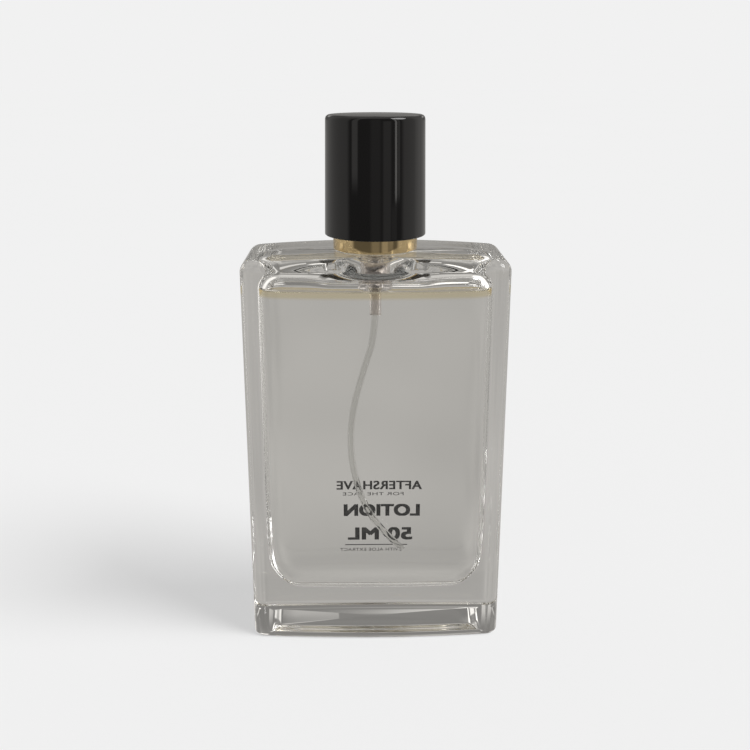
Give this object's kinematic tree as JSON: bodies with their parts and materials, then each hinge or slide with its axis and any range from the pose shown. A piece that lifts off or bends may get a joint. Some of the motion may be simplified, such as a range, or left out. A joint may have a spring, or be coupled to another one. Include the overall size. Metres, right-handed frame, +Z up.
{
  "type": "aftershave bottle",
  "caption": "Flat rectangular heavy-glass aftershave bottle with a crimped spray pump, gold collar, bent dip tube, liquid and a lift-off gloss black overcap.",
  "frame": {"origin": "middle of the base, on the surface the bottle stands on", "axes": "+Z up along the neck; +X along the wide faces; +Y out of the printed front, the way the nozzle points"},
  "size_m": [0.0556, 0.0253, 0.1143],
  "materials": {
    "clear_glass": "polished heavy clear glass",
    "liquid": "clear, very faintly yellow liquid",
    "ink": "black screen print",
    "white_plastic": "natural white moulded plastic",
    "plain_aluminium": "plain pressed sheet",
    "gold_aluminium": "polished gold anodised",
    "clear_plastic": "translucent natural plastic",
    "steel": "bright stainless steel",
    "black_plastic_inner": "fine satin black plastic",
    "black_gloss": "polished black lacquer"
  },
  "bodies": {
    "bottle": {"glass_bottle": "clear_glass", "aftershave_liquid": "liquid", "front_print": "ink", "neck_gasket": "white_plastic", "crimp_ferrule": "plain_aluminium", "collar": "gold_aluminium", "collar_liner": "white_plastic", "pump_housing": "clear_plastic", "turret": "white_plastic", "dip_tube": "clear_plastic", "main_spring": "steel"},
    "plunger": {"pump_stem": "white_plastic", "valve_needle": "white_plastic", "precompression_spring": "steel"},
    "piston": {"piston": "white_plastic"},
    "inlet_ball": {"inlet_ball": "steel"},
    "actuator": {"actuator_core": "black_plastic_inner", "actuator_shell": "gold_aluminium", "nozzle_insert": "black_plastic_inner"},
    "cap": {"cap_shell": "black_gloss", "cap_insert": "white_plastic"}
  },
  "joints": [
    {"name": "cap_lift", "type": "slide", "parent": "bottle", "child": "cap", "axis": [0, 0, 1], "range_m": [0, 0.03]},
    {"name": "pump_press", "type": "slide", "parent": "bottle", "child": "plunger", "axis": [0, 0, 1], "range_m": [-0.0038, 0], "stiffness_N_per_m": 1200, "springref_m": 0.004, "deforming": ["main_spring"]},
    {"name": "piston_lift", "type": "slide", "parent": "plunger", "child": "piston", "axis": [0, 0, 1], "range_m": [0, 0.00035], "stiffness_N_per_m": 2500, "springref_m": -0.001, "deforming": ["precompression_spring"]},
    {"name": "ball_lift", "type": "slide", "parent": "bottle", "child": "inlet_ball", "axis": [0, 0, 1], "range_m": [0, 0.0005]},
    {"name": "actuator_turn", "type": "hinge", "parent": "plunger", "child": "actuator", "pos_m": [0, 0, 0.1034], "axis": [0, 0, 1], "continuous": true}
  ]
}
